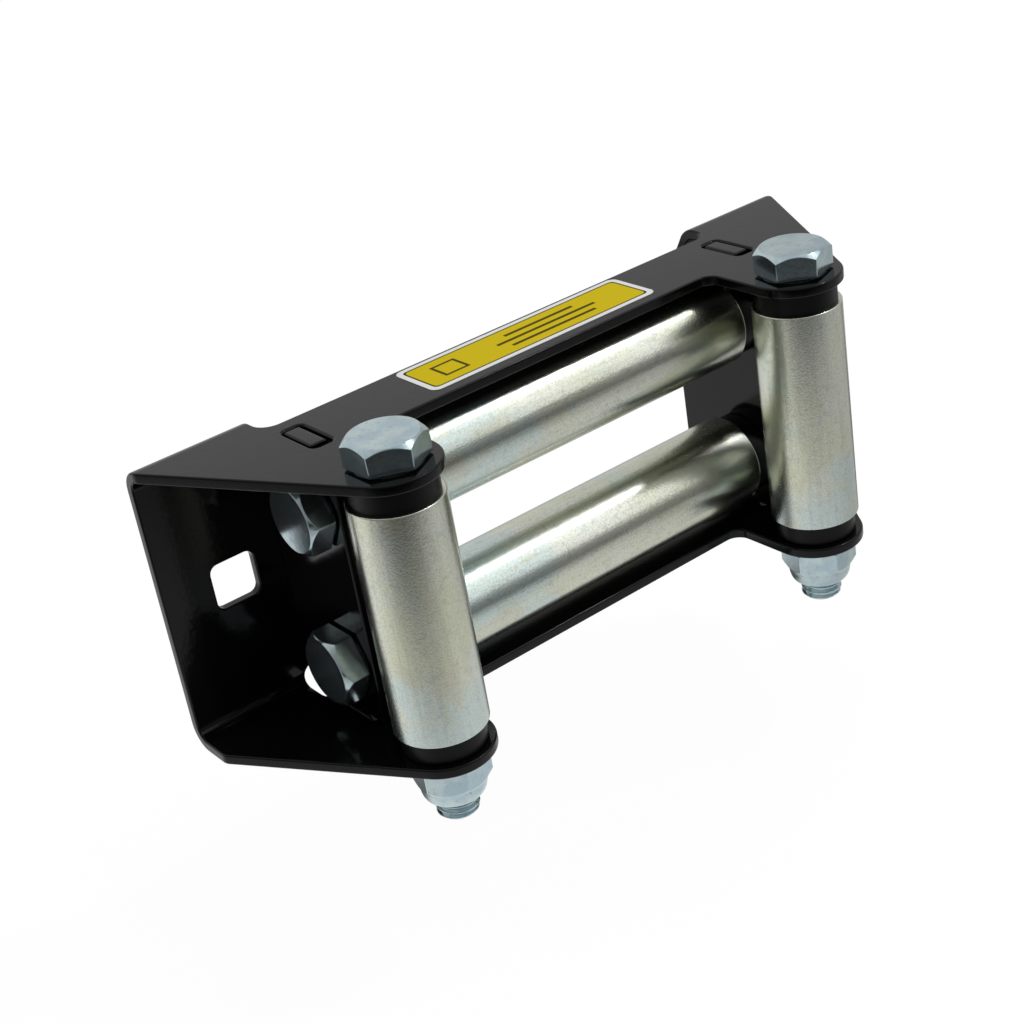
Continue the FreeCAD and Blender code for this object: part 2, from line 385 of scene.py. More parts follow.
def soften_edges(piece: bpy.types.Object, width: float, segments: int = 3) -> None:
    """Cleans a carved mesh and rounds its sharp edges as a coat of paint does.

    Args:
        piece: the carved mesh.
        width: how far each rounding reaches from its edge.
        segments: facets across a rounding.
    """
    work = bmesh.new()
    work.from_mesh(piece.data)
    bmesh.ops.remove_doubles(work, verts=work.verts, dist=CARVED_WELD)
    work.to_mesh(piece.data)
    work.free()
    piece.data.shade_smooth()
    bevel = piece.modifiers.new("edges", "BEVEL")
    bevel.width, bevel.segments = width, segments
    bevel.limit_method, bevel.angle_limit = "ANGLE", SHARP
    bevel.use_clamp_overlap = bevel.loop_slide = False
    flatten_shading(piece)


@dataclass(frozen=True)
class Gauge:
    """Sizes that several pieces share, read from the frame."""

    flange_outer: float
    plate_x: float
    upright_x: float
    upright_y: float
    lying_y: float
    lying_z: float
    frame_end: float
    frame_depth: float
    sheet: float = 2.5 * MM
    bend_inner: float = 3.0 * MM
    bolt_radius: float = 5.0 * MM
    hole_radius: float = 5.4 * MM
    plate_thickness: float = 4.5 * MM
    plate_front: float = 33.0 * MM

    @classmethod
    def from_frame(cls) -> "Gauge":
        """Reads the places of plates, rollers and flanges from the CAD nodes' boxes.

        Returns:
            The shared sizes.
        """
        low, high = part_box("frame")
        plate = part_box("right_side_plate")
        upright = sum(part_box("right_roller_sleeve"), Vector()) / 2
        lying = sum(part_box("upper_roller_sleeve"), Vector()) / 2
        return cls(
            flange_outer=high.z, plate_x=(plate[0].x + plate[1].x) / 2, upright_x=upright.x,
            upright_y=upright.y, lying_y=lying.y, lying_z=lying.z, frame_end=high.x,
            frame_depth=-low.y,
        )

    @property
    def flange_inner(self) -> float:
        """Height of the flanges' inner faces."""
        return self.flange_outer - self.sheet

    @property
    def bend_outer(self) -> float:
        """Outer radius of the bends."""
        return self.bend_inner + self.sheet


@dataclass
class FoldedFrame:
    """One-piece folded sheet: rear web, two flanges, rope window, lobes, slots and holes."""

    gauge: Gauge
    finish: "Finish"
    lobe_radius: float = 11.35 * MM
    lobe_root: float = 3.5 * MM
    lower_end_reach: float = 7.5 * MM
    lower_relief_reach: float = 2.7 * MM
    end_corner: float = 3.0 * MM
    bridge_front: float = 31.5 * MM
    bridge_rear: float = 11.3 * MM
    relief_radius: float = 4.2 * MM
    hole_x: float = 76.2 * MM
    hole_half: float = 5.5 * MM
    hole_corner: float = 2.0 * MM
    slot_behind: float = 0.5 * MM
    slot_half: Pair = (2.75 * MM, 6.8 * MM)
    slot_corner: float = 1.5 * MM
    slot_sink: Pair = (0.6 * MM, 0.2 * MM)
    edge: float = 0.45 * MM
    overlap: float = 0.1 * MM
    end_steps: int = 5
    lobe_steps: int = 28
    root_steps: int = 12
    relief_steps: int = 12
    bend_steps: int = 9

    def flange_outline(self, end_depth: float) -> np.ndarray:
        """Outline of a flange in plan; each lobe's arc is concentric with its roller.

        The arc rounds the corner between the lobe's straight inner side and the line from the
        frame's end that touches the circle about the roller's axis.  The outline stands clear
        of the web, whose ends and rear face are the blank's own.

        Args:
            end_depth: how far in front of the mounting face that line starts.

        Returns:
            Array (point, 2).
        """
        g = self.gauge
        across, down = g.upright_x - g.frame_end, g.upright_y + end_depth
        heading = math.atan2(down, across) + math.asin(self.lobe_radius / math.hypot(across, down))
        side = g.upright_x - self.lobe_radius
        tip = (side - g.frame_end) * math.tan(heading) - end_depth
        right = np.array([
            (g.frame_end + MM, MM),
            (g.frame_end + MM, -end_depth / 2),
            (g.frame_end, -end_depth / 2),
            (g.frame_end, -end_depth),
            (side, tip),
            (side, -self.bridge_front),
        ])
        left = right[::-1] * np.array([-1, 1])
        radii = [0, 0, 0, self.end_corner, self.lobe_radius, self.lobe_root]
        steps = [1, 1, 1, self.end_steps, self.lobe_steps, self.root_steps]
        return rounded_path(np.concatenate([right, left]), radii + radii[::-1], steps + steps[::-1])

    def section(self) -> np.ndarray:
        """Channel section in Y and Z: web, flanges and rounded bends of one sheet.

        Returns:
            Array (point, 2).
        """
        g = self.gauge
        outer, inner, front = g.flange_outer, g.flange_inner, -g.frame_depth - g.sheet
        corners = np.array([
            (0, -outer), (0, outer), (front, outer), (front, inner),
            (-g.sheet, inner), (-g.sheet, -inner), (front, -inner), (front, -outer),
        ])
        radii = [g.bend_outer, g.bend_outer, 0, 0, g.bend_inner, g.bend_inner, 0, 0]
        return rounded_path(corners, radii, steps=self.bend_steps)

    def notch(self, depth: float) -> np.ndarray:
        """Notch behind a flange's bridge with round inner corners, as an outline in plan.

        Args:
            depth: how far in front of the mounting face it ends.

        Returns:
            Array (point, 2).
        """
        reach, far = self.gauge.plate_x + self.relief_radius, 2 * self.gauge.frame_depth
        corners = np.array([(-reach, -depth), (reach, -depth), (reach, far), (-reach, far)])
        return rounded_path(corners, [self.relief_radius] * 2 + [0, 0], steps=self.relief_steps)

    def relief(self, side: int, level: int) -> np.ndarray:
        """Upright slot in X and Z whose round end widens a corner of the window.

        Args:
            side: -1 for a left corner and 1 for a right one.
            level: -1 for a lower corner and 1 for an upper one.

        Returns:
            Array (point, 2).
        """
        g, radius = self.gauge, self.relief_radius
        near, far = level * (g.flange_inner - radius), level * 2 * g.flange_outer
        left, right = side * g.plate_x - radius, side * g.plate_x + radius
        corners = np.array([(left, near), (right, near), (right, far), (left, far)])
        return rounded_path(corners, [radius * ROUND_END] * 2 + [0, 0], steps=self.relief_steps)

    def slots(self, side: int) -> Shape:
        """Cutter of a plate's two slots, which widens as it leaves the flanges' outer faces.

        Args:
            side: -1 for the left plate and 1 for the right one.

        Returns:
            The cutter.
        """
        g = self.gauge
        middle = (side * g.plate_x, g.lying_y + self.slot_behind)
        spread, sink = self.slot_sink
        outlines = [
            rectangle(middle, self.slot_half, self.slot_corner, reach)
            for reach in (2 * spread, 0, 0, 2 * spread)
        ]
        levels = [
            level * g.flange_outer + sign * sink
            for level, sign in ((-1, -1), (-1, 1), (1, -1), (1, 1))
        ]
        return Shape.prism(np.stack(outlines), Plane.XY, *levels)

    def tools(self) -> list[Shape]:
        """Cutting prisms of the window, reliefs, square holes, slots and bolt holes.

        Returns:
            The prisms, each longer than what it cuts.
        """
        g = self.gauge
        far, through = 2 * g.flange_outer, (-g.bend_outer, g.bend_outer)
        start = g.flange_inner - self.overlap
        lower_bridge = self.bridge_rear + self.lower_relief_reach
        tools = [
            Shape.prism(rectangle((0, 0), (g.plate_x, far), 0), Plane.XZ, *through),
            Shape.prism(self.notch(self.bridge_rear), Plane.XY, start, far),
            Shape.prism(self.notch(lower_bridge), Plane.XY, -far, -start),
        ]
        for side in (-1, 1):
            square = rectangle((side * self.hole_x, 0), (self.hole_half,) * 2, self.hole_corner)
            bolt_hole = round_hole((side * g.upright_x, g.upright_y), g.hole_radius)
            tools += [
                Shape.prism(self.relief(side, -1), Plane.XZ, *through),
                Shape.prism(self.relief(side, 1), Plane.XZ, *through),
                Shape.prism(square, Plane.XZ, *through),
                self.slots(side),
                Shape.prism(bolt_hole, Plane.XY, -far, far),
            ]
        return tools

    def build(self) -> None:
        """Carves the channel and dresses it."""
        g = self.gauge
        blank = Shape.prism(self.section(), Plane.YZ, -g.frame_end, g.frame_end)
        piece = blank.mesh("folded_frame", Place())
        upper = self.flange_outline(g.bend_outer)
        lower = self.flange_outline(g.bend_outer + self.lower_end_reach)
        far, outlines = 2 * g.flange_outer, np.stack([lower, lower, upper, upper])
        carve(piece, Cut.INSIDE, [Shape.prism(outlines, Plane.XY, -far, -MM, MM, far)])
        carve(piece, Cut.OUTSIDE, self.tools())
        soften_edges(piece, self.edge)
        dress(piece, self.finish, "frame", "frame")


@dataclass
class SidePlates:
    """Two plates between the flanges, keyed into slots by tabs, that carry the lying rollers."""

    gauge: Gauge
    finish: "Finish"
    tab_behind: float = 1.2 * MM
    tab_half: float = 5.4 * MM
    tab_recess: float = 0.1 * MM
    tab_rounding: Pair = (1.1 * MM, 0.6 * MM)
    corner: float = 5.5 * MM
    edge: float = 0.45 * MM
    hair: float = 0.05 * MM
    corner_steps: int = 8
    tip_steps: int = 9

    def outline(self) -> np.ndarray:
        """Outline in Y and Z with a tab above and below.

        Returns:
            Array (point, 2).
        """
        g = self.gauge
        tab_end, middle = g.flange_outer - self.tab_recess, g.lying_y + self.tab_behind
        upper = np.array([
            (-g.sheet, g.flange_inner),
            (middle + self.tab_half, g.flange_inner),
            (middle + self.tab_half, tab_end),
            (middle - self.tab_half, tab_end),
            (middle - self.tab_half, g.flange_inner),
            (-g.plate_front, g.flange_inner),
        ])
        radii = [self.corner, 0, 0, 0, 0, 0]
        corners = np.concatenate([upper, upper[::-1] * np.array([1, -1])])
        return rounded_path(corners, radii + radii[::-1], steps=self.corner_steps)

    def tab_cuts(self, side: int) -> list[Shape]:
        """Cutters that round the tips of a plate's tabs, more on the side of the rope window.

        Each is the corner outside a quarter circle, a hair larger than the tab's own corner.

        Args:
            side: -1 for the left plate and 1 for the right one.

        Returns:
            Four cutters along Y.
        """
        g, hair = self.gauge, self.hair
        quarter = np.linspace(0, math.pi / 2, self.tip_steps)
        width, top = g.plate_thickness / 2, g.flange_outer - self.tab_recess
        cuts = []
        for way, radius in zip((-side, side), self.tab_rounding):
            arc = np.stack([np.cos(quarter) - 1, np.sin(quarter) - 1], axis=-1) * radius
            rest = np.array([(-radius, hair), (hair, hair), (hair, -radius)])
            corner = (np.concatenate([arc, rest]) + (width, top)) * (way, 1) + (side * g.plate_x, 0)
            for level in (-1, 1):
                cuts.append(Shape.prism(corner * (1, level), Plane.XZ, -g.frame_depth, 0))
        return cuts

    def build(self) -> None:
        """Carves both plates and dresses them."""
        g = self.gauge
        for name, side in (("left_side_plate", -1), ("right_side_plate", 1)):
            middle = side * g.plate_x
            low, high = middle - g.plate_thickness / 2, middle + g.plate_thickness / 2
            piece = Shape.prism(self.outline(), Plane.YZ, low, high).mesh(name + "_shaped", Place())
            holes = [round_hole((g.lying_y, level * g.lying_z), g.hole_radius) for level in (-1, 1)]
            drills = [Shape.prism(hole, Plane.YZ, low - MM, high + MM) for hole in holes]
            carve(piece, Cut.OUTSIDE, drills + self.tab_cuts(side))
            soften_edges(piece, self.edge)
            dress(piece, self.finish, "frame", name)


@dataclass
class Hexagon:
    """Chamfered hexagon with softly broken edges, as a family of profiles round the axis."""

    across_flats: float = 16.0 * MM
    corner_round: float = 0.35 * MM
    flank_round: float = 0.25 * MM
    under_round: float = 0.2 * MM
    chamfer_inset: float = 0.3 * MM
    chamfer_slope: float = 0.909
    flat_points: int = 14

    @property
    def circle(self) -> float:
        """Radius where the chamfer's cone meets the end face."""
        return self.across_flats / 2 - self.chamfer_inset

    def rim(self, turn: float) -> tuple[np.ndarray, np.ndarray]:
        """Rounded hexagon with evenly spaced extra points on its flats, as angles and radii.

        Args:
            turn: angle of one corner from own +X, in degrees.

        Returns:
            Arrays of angle and radius, going round.
        """
        corner = np.radians(turn + 60 * np.arange(6))
        tip = self.across_flats / math.sqrt(3)
        tips = np.stack([np.cos(corner), np.sin(corner)], axis=-1) * tip
        points = rounded_path(tips, [self.corner_round] * 6)
        ahead = np.roll(points, -1, axis=0)
        share = np.linspace(0, 1, self.flat_points, endpoint=False)[None, :, None]
        long_run = np.linalg.norm(ahead - points, axis=-1) > self.across_flats / 4
        filled = points[:, None] + (ahead - points)[:, None] * share
        kept = np.ones(filled.shape[:2], bool)
        kept[~long_run, 1:] = False
        outline = filled[kept]
        return np.arctan2(outline[:, 1], outline[:, 0]), np.linalg.norm(outline, axis=-1)

    def drop(self, radius: np.ndarray, start: float) -> np.ndarray:
        """How far the chamfer's cone has dropped at a radius: slope times (radius - start)."""
        return self.chamfer_slope * (radius - start)


@dataclass
class HexBolt:
    """Hexagon bolt in its own frame: the shank runs down from the head's washer face at Z = 0.

    The thread's depth and run-out are in pitches.  The crest share and the flank share are parts
    of half a pitch, from the middle of a crest to the middle of a root.
    """

    gauge: Gauge
    grip: float
    turn: float
    hexagon: Hexagon = field(default_factory=Hexagon)
    head_height: float = 6.4 * MM
    washer_face: float = 0.5 * MM
    washer_inset: float = 0.6 * MM
    washer_round: float = 0.1 * MM
    rim_band: float = 0.25 * MM
    rim_round: float = 0.3 * MM
    nut_height: float = 11.0 * MM
    protrusion: float = 4.9 * MM
    pitch: float = 1.5 * MM
    thread_length: float = 26.0 * MM
    thread_end: float = 0.9 * MM
    thread_depth: float = 0.6134
    crest_share: float = 0.125
    flank_share: float = 0.625
    run_out: float = 1.5
    neck_gap: float = 0.2 * MM
    rows_per_turn: int = 24
    columns: int = 72
    round_steps: int = 5

    def head(self) -> Shape:
        """Head: flat top, cone chamfer, flanks and a washer face, one profile per rim point.

        Returns:
            The closed shape.
        """
        angle, rim = self.hexagon.rim(self.turn)
        circle, top = self.hexagon.circle, self.head_height
        face = self.hexagon.across_flats / 2 - self.washer_inset
        corners = [
            (0, top, 0),
            (circle - self.rim_band, top, 0),
            (circle, top, self.rim_round),
            (rim, top - self.hexagon.drop(rim, circle), self.hexagon.flank_round),
            (rim, self.washer_face, self.hexagon.under_round),
            (face, self.washer_face, 0),
            (face, 0, self.washer_round),
            (0, 0, 0),
        ]
        return Shape.by_rim(angle, rim, corners, False, self.round_steps)

    def shank(self) -> Shape:
        """Shank with a rolled thread at its end.

        The radius falls below the crest by the groove depth times a clipped triangle wave of
        height / pitch + angle / full turn.  The groove fades where the plain shank begins, and
        a cone limits the radius at the end.

        Returns:
            The closed shape.
        """
        length = self.grip + self.nut_height + self.protrusion
        radius, start = self.gauge.bolt_radius, self.thread_length - length
        rows = int(self.thread_length / self.pitch * self.rows_per_turn)
        height = np.concatenate([[-self.neck_gap, start + MM], np.linspace(start, -length, rows)])
        angle = np.linspace(0, FULL_TURN, self.columns, endpoint=False)
        z, a = np.meshgrid(height, angle, indexing="ij")
        wave = np.abs(2 * np.mod(z / self.pitch + a / FULL_TURN, 1) - 1)
        flank = np.clip((wave - self.crest_share) / self.flank_share, 0, 1)
        fade = np.clip((start - z) / (self.run_out * self.pitch), 0, 1)
        groove = self.thread_depth * self.pitch * flank * fade
        wall = np.minimum(radius - groove, radius - self.thread_end + (z + length))
        pole = np.zeros((1, self.columns))
        r = np.concatenate([pole, wall, pole])
        z = np.concatenate([z[:1], z, z[-1:]])
        return Shape.around(r, z, angle, False)


@dataclass
class LockNut:
    """Lock nut standing on Z = 0: chamfered hexagon, rolled collar and a pocket for its ring."""

    gauge: Gauge
    turn: float
    hexagon: Hexagon = field(default_factory=Hexagon)
    hex_height: float = 7.2 * MM
    height: float = 11.0 * MM
    collar_radius: float = 7.6 * MM
    collar_dome: float = 3.4 * MM
    collar_narrowing: float = 1.6 * MM
    pocket_radius: float = 6.6 * MM
    pocket_height: float = 2.2 * MM
    lip_radius: float = 5.7 * MM
    lip_thickness: float = 0.6 * MM
    lip_round: float = 0.1 * MM
    bore_chamfer: float = 0.4 * MM
    ring_round: float = 0.3 * MM
    play: float = 0.04 * MM
    dome_points: int = 10
    round_steps: int = 6
    ring_columns: int = 128

    @property
    def pocket(self) -> Pair:
        """Heights of the pocket's floor and of the lip's underside."""
        lip = self.height - self.lip_thickness
        return lip - self.pocket_height, lip

    def shape(self) -> Shape:
        """Body: one closed profile per rim point, from the lip down the outside to the bore.

        The collar follows a quarter ellipse, whose radius narrows by 1 - cos and whose height
        falls by 1 - sin of the angle of rise.

        Returns:
            The closed shape.
        """
        angle, rim = self.hexagon.rim(self.turn)
        circle, bore = self.hexagon.circle, self.gauge.bolt_radius + self.play
        floor, lip = self.pocket
        rise = np.linspace(math.pi / 2, 0, self.dome_points)
        dome_radius = self.collar_radius - self.collar_narrowing * (1 - np.cos(rise))
        dome_height = self.height - self.collar_dome * (1 - np.sin(rise))
        shoulder = self.hex_height - self.hexagon.drop(rim, self.collar_radius)
        corners = [
            (self.lip_radius, self.height, self.lip_round),
            *[(radius, height, 0) for radius, height in zip(dome_radius, dome_height)],
            (rim, shoulder, self.hexagon.flank_round),
            (rim, self.hexagon.drop(rim, circle), self.hexagon.flank_round),
            (circle, 0, self.hexagon.under_round),
            (bore + self.bore_chamfer, 0, 0),
            (bore, self.bore_chamfer, 0),
            (bore, floor, 0),
            (self.pocket_radius, floor, 0),
            (self.pocket_radius, lip, 0),
            (self.lip_radius, lip, self.lip_round),
        ]
        return Shape.by_rim(angle, rim, corners, True, self.round_steps)

    def ring(self) -> Shape:
        """Nylon ring that fills the pocket under the lip and grips the thread.

        Returns:
            The closed shape.
        """
        floor, lip = self.pocket
        inner, outer = self.gauge.bolt_radius - self.play, self.pocket_radius
        corners = [
            (inner, lip, self.ring_round), (outer, lip, 0),
            (outer, floor, 0), (inner, floor, self.ring_round),
        ]
        return Shape.turned(corners, self.ring_columns)


@dataclass
class GuideRoller:
    """One roller on its bolt: tube, two flanged bushings, bolt, lock nut and its ring.

    The roller fills the room between two walls, and the bolt grips both walls.
    """

    gauge: Gauge
    name: str
    ends: tuple[str, str]
    place: Place
    radius: float
    room: float
    wall: float
    head_turn: float
    nut_turn: float
    finishes: "Finishes"
    tube_wall: float = 2.6 * MM
    tube_edge: float = 0.35 * MM
    flange: float = 4.9 * MM
    flange_step: float = 1.0 * MM
    flange_rounding: Triple = (0.3 * MM, 0.5 * MM, 0.15 * MM)
    spigot: float = 12.0 * MM
    spigot_round: float = 0.4 * MM
    play: float = 0.1 * MM
    running: float = 0.08 * MM
    tube_columns: int = 192
    bushing_columns: int = 160

    def tube(self) -> Shape:
        """Plain tube with rounded rims.

        Returns:
            The closed shape.
        """
        half = self.room / 2 - self.play - self.flange
        bore, edge = self.radius - self.tube_wall, self.tube_edge
        corners = [
            (bore, half, edge / 2), (self.radius, half, edge),
            (self.radius, -half, edge), (bore, -half, edge / 2),
        ]
        return Shape.turned(corners, self.tube_columns)

    def bushing(self) -> Shape:
        """Upper bushing: flange with rounded rim on the tube's end, spigot inside the tube.

        Returns:
            The closed shape.
        """
        outer = self.room / 2 - self.play
        seat = outer - self.flange
        rim, bore = self.radius - self.flange_step, self.gauge.bolt_radius + self.running
        body, tip = self.radius - self.tube_wall, seat - self.spigot
        mouth, upper, lower = self.flange_rounding
        corners = [
            (bore, outer, mouth), (rim, outer, upper), (rim, seat, lower),
            (body, seat, 0), (body, tip, self.spigot_round), (bore, tip, 0),
        ]
        return Shape.turned(corners, self.bushing_columns)

    def build(self) -> None:
        """Makes and dresses the roller's six pieces."""
        grip = self.room + 2 * self.wall
        bolt = HexBolt(self.gauge, grip, self.head_turn)
        nut = LockNut(self.gauge, -self.nut_turn)
        whole = bolt.head().joined(bolt.shank()).lifted(grip / 2)
        nut_body, nut_ring = (shape.lifted(-grip / 2, True) for shape in (nut.shape(), nut.ring()))
        head_end, nut_end = (f"{self.name}_{end}_bushing" for end in self.ends)
        looks = self.finishes
        for node, shape, finish, body in (
            (self.name + "_sleeve", self.tube(), looks.tube, self.name),
            (head_end, self.bushing(), looks.bushing, self.name),
            (nut_end, self.bushing().lifted(0, True), looks.bushing, self.name),
            (self.name + "_bolt", whole, looks.fastener, "frame"),
            (self.name + "_nut", nut_body, looks.fastener, "frame"),
            (self.name + "_nut_insert", nut_ring, looks.nylon, "frame"),
        ):
            piece = shape.mesh(node + "_shaped", self.place)
            flatten_shading(piece)
            dress(piece, finish, body, node)


@dataclass
class Sticker:
    """Thin printed label on the upper flange."""

    gauge: Gauge
    finish: "Finish"
    middle: Pair = (0.4 * MM, -20.5 * MM)
    corner: float = 2.0 * MM
    thickness: float = 0.12 * MM
    edge: float = 0.04 * MM

    def build(self) -> None:
        """Rounded sheet whose own coordinates are centred on the label."""
        outline = rectangle((0, 0), LABEL_HALF, self.corner)
        shape = Shape.prism(outline, Plane.XY, 0, self.thickness)
        piece = shape.mesh("sticker", Place((*self.middle, self.gauge.flange_outer)))
        soften_edges(piece, self.edge, 2)
        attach(piece, "frame")
        piece.data.materials.append(self.finish.material())
        log.info("sticker on the upper flange")


def dress(piece: bpy.types.Object, finish: "Finish", body: str, node: str) -> None:
    """Gives a piece its finish and body, and lets it stand for its CAD node.

    Args:
        piece: the finished object.
        finish: its surface.
        body: the CAD body that carries it.
        node: the CAD node that it stands for.
    """
    piece.data.materials.clear()
    piece.data.materials.append(finish.material())
    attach(piece, body)
    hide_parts(node)
    log.info("%s on %s: %d faces", piece.name, body, len(piece.data.polygons))


class Term:
    """A shader value: one socket, with arithmetic that adds Math nodes to its tree."""

    def __init__(self, graph: "Graph", socket: bpy.types.NodeSocket) -> None:
        """Wraps an output socket of a graph."""
        self.graph, self.socket = graph, socket

    def math(self, operation: str, *values: object) -> "Term":
        """Math node of that operation on this value and up to two more."""
        return self.graph.value("Value", "ShaderNodeMath", {"operation": operation}, self, *values)

    def __add__(self, other: object) -> "Term":
        """This value plus another."""
        return self.math("ADD", other)

    def __sub__(self, other: object) -> "Term":
        """This value minus another."""
        return self.math("SUBTRACT", other)

    def __rsub__(self, other: float) -> "Term":
        """A number minus this value."""
        return self.math("MULTIPLY_ADD", -1.0, other)

    def __mul__(self, other: object) -> "Term":
        """This value times another."""
        return self.math("MULTIPLY", other)

    __radd__, __rmul__ = __add__, __mul__

    def over(self, edge: float, blur: float) -> "Term":
        """Smooth step from 0 below the edge to 1 above it."""
        settings, ends = {"interpolation_type": "SMOOTHSTEP"}, (edge - blur, edge + blur, 0.0, 1.0)
        return self.graph.value("Result", "ShaderNodeMapRange", settings, self, *ends)

    def cover(self, edge: float, blur: float, strength: float) -> "Term":
        """Smooth step from 0 below the edge to a strength above it."""
        return self.over(edge, blur) * strength


@dataclass(frozen=True)
class Pattern:
    """Smooth noise, about 0 to 1 and mostly near 0.5.

    Its scale is in repeats per metre, and a stretch below 1 draws it out along that axis.
    """

    scale: float
    detail: float = 4.0
    roughness: float = 0.55
    stretch: Triple | None = None


class Graph:
    """Node tree of one material or of the world."""

    def __init__(self, holder: bpy.types.Material | bpy.types.World) -> None:
        """Starts the material or world with an empty tree."""
        holder.use_nodes = True
        self.tree = holder.node_tree
        self.tree.nodes.clear()

    def node(
        self, kind: str, settings: dict | None = None, *values: object, **named: object
    ) -> bpy.types.Node:
        """Adds a node.

        Args:
            kind: the node's type.
            settings: its own settings, set first.
            values: values or links of its first sockets in order.
            named: values or links by socket, with _ for a space.

        Returns:
            The node.
        """
        made = self.tree.nodes.new(kind)
        for key, setting in (settings or {}).items():
            setattr(made, key, setting)
        sockets = {socket.identifier.replace(" ", "_"): socket for socket in made.inputs}
        links = [*zip(made.inputs, values), *((sockets[name], named[name]) for name in named)]
        for socket, value in links:
            if isinstance(value, Term):
                self.tree.links.new(value.socket, socket)
            elif isinstance(value, tuple) and len(value) == 3 and socket.type == "RGBA":
                socket.default_value = (*value, 1.0)
            else:
                socket.default_value = value
        return made

    def value(
        self, output: str, kind: str, settings: dict | None = None, *values: object, **named: object
    ) -> Term:
        """One output of a new node, which is made as the node method makes it."""
        made = self.node(kind, settings, *values, **named)
        return Term(self, next(socket for socket in made.outputs if socket.identifier == output))

    def own(self) -> Term:
        """The piece's own coordinates, from its attribute."""
        return self.value("Vector", "ShaderNodeAttribute", {"attribute_name": "own"})

    def along(self, vector: Term, way: Triple) -> Term:
        """How far a vector reaches along a direction."""
        dot = {"operation": "DOT_PRODUCT"}
        return self.value("Value", "ShaderNodeVectorMath", dot, vector, way)

    def axis(self, vector: Term, letter: str) -> Term:
        """One coordinate of a vector."""
        return self.value(letter, "ShaderNodeSeparateXYZ", None, vector)

    def noise(self, vector: Term, pattern: Pattern) -> Term:
        """A pattern at some coordinates, which are multiplied axis by axis to stretch it.

        Args:
            vector: the coordinates.
            pattern: the noise.

        Returns:
            The noise's value.
        """
        if pattern.stretch:
            by = {"operation": "MULTIPLY"}
            vector = self.value("Vector", "ShaderNodeVectorMath", by, vector, pattern.stretch)
        return self.value(
            "Fac", "ShaderNodeTexNoise", None, Vector=vector, Scale=pattern.scale,
            Detail=pattern.detail, Roughness=pattern.roughness,
        )

    def noises(self, vector: Term, *patterns: Pattern) -> list[Term]:
        """Several patterns at the same coordinates."""
        return [self.noise(vector, pattern) for pattern in patterns]

    def mixed(self, factor: object, first: object, second: object) -> Term:
        """Colour between two colours."""
        sockets = {"Factor_Float": factor, "A_Color": first, "B_Color": second}
        return self.value("Result_Color", "ShaderNodeMix", {"data_type": "RGBA"}, **sockets)

    def uneven(self, base: float, shares: tuple[float, ...], *patterns: Term) -> Term:
        """A base plus a share of each pattern."""
        parts = [pattern * share for pattern, share in zip(patterns, shares)]
        return sum(parts[1:], parts[0]) + base

    def bump(self, height: Term, distance: float, strength: float) -> Term:
        """Normal bent by a height."""
        sockets = {"Strength": strength, "Distance": distance, "Height": height}
        return self.value("Normal", "ShaderNodeBump", None, **sockets)

    def surface(self, **sockets: object) -> None:
        """Principled surface to the material's output."""
        shader = self.value("BSDF", "ShaderNodeBsdfPrincipled", None, **sockets)
        self.node("ShaderNodeOutputMaterial", None, shader)


class Finish:
    """A surface that several pieces share; its material is made once."""

    slot = ""
    made: dict[str, bpy.types.Material] = {}

    def material(self) -> bpy.types.Material:
        """The finish's material, made when it is first asked for.

        Returns:
            The material.
        """
        name = type(self).__name__
        if name not in Finish.made:
            Finish.made[name] = bpy.data.materials.new(name)
            self.paint(Graph(Finish.made[name]))
        return Finish.made[name]

    def paint(self, graph: Graph) -> None:
        """Fills the material's nodes."""
        raise NotImplementedError


# In the finishes, a relief is a depth and a strength.  A cover is the edge and the blur of a
# step, and its strength where it has one.  The rough shares say how much of each pattern goes
# into the roughness.


@dataclass(frozen=True)
class GlossBlackCoat(Finish):
    """Powder coat: deep black, glossy, with a faint orange peel."""

    slot = "black_paint"
    roughness: float = 0.05
    rough_shares: Pair = (0.08, 0.06)
    specular: float = 0.19
    relief: Pair = (0.08 * MM, 0.25)
    clouds: Pattern = Pattern(60.0, 5.0)
    specks: Pattern = Pattern(420.0)
    peel: Pattern = Pattern(700.0, 2.0, 0.4)

    def paint(self, graph: Graph) -> None:
        """Cloudy black, uneven gloss and a fine peel.

        Args:
            graph: the material's graph.
        """
        cloud, speck, peel = graph.noises(graph.own(), self.clouds, self.specks, self.peel)
        graph.surface(
            Base_Color=graph.mixed(cloud, DEEP_BLACK, PALE_BLACK),
            Roughness=graph.uneven(self.roughness, self.rough_shares, cloud, speck),
            Specular_IOR_Level=self.specular,
            Normal=graph.bump(peel, *self.relief),
        )


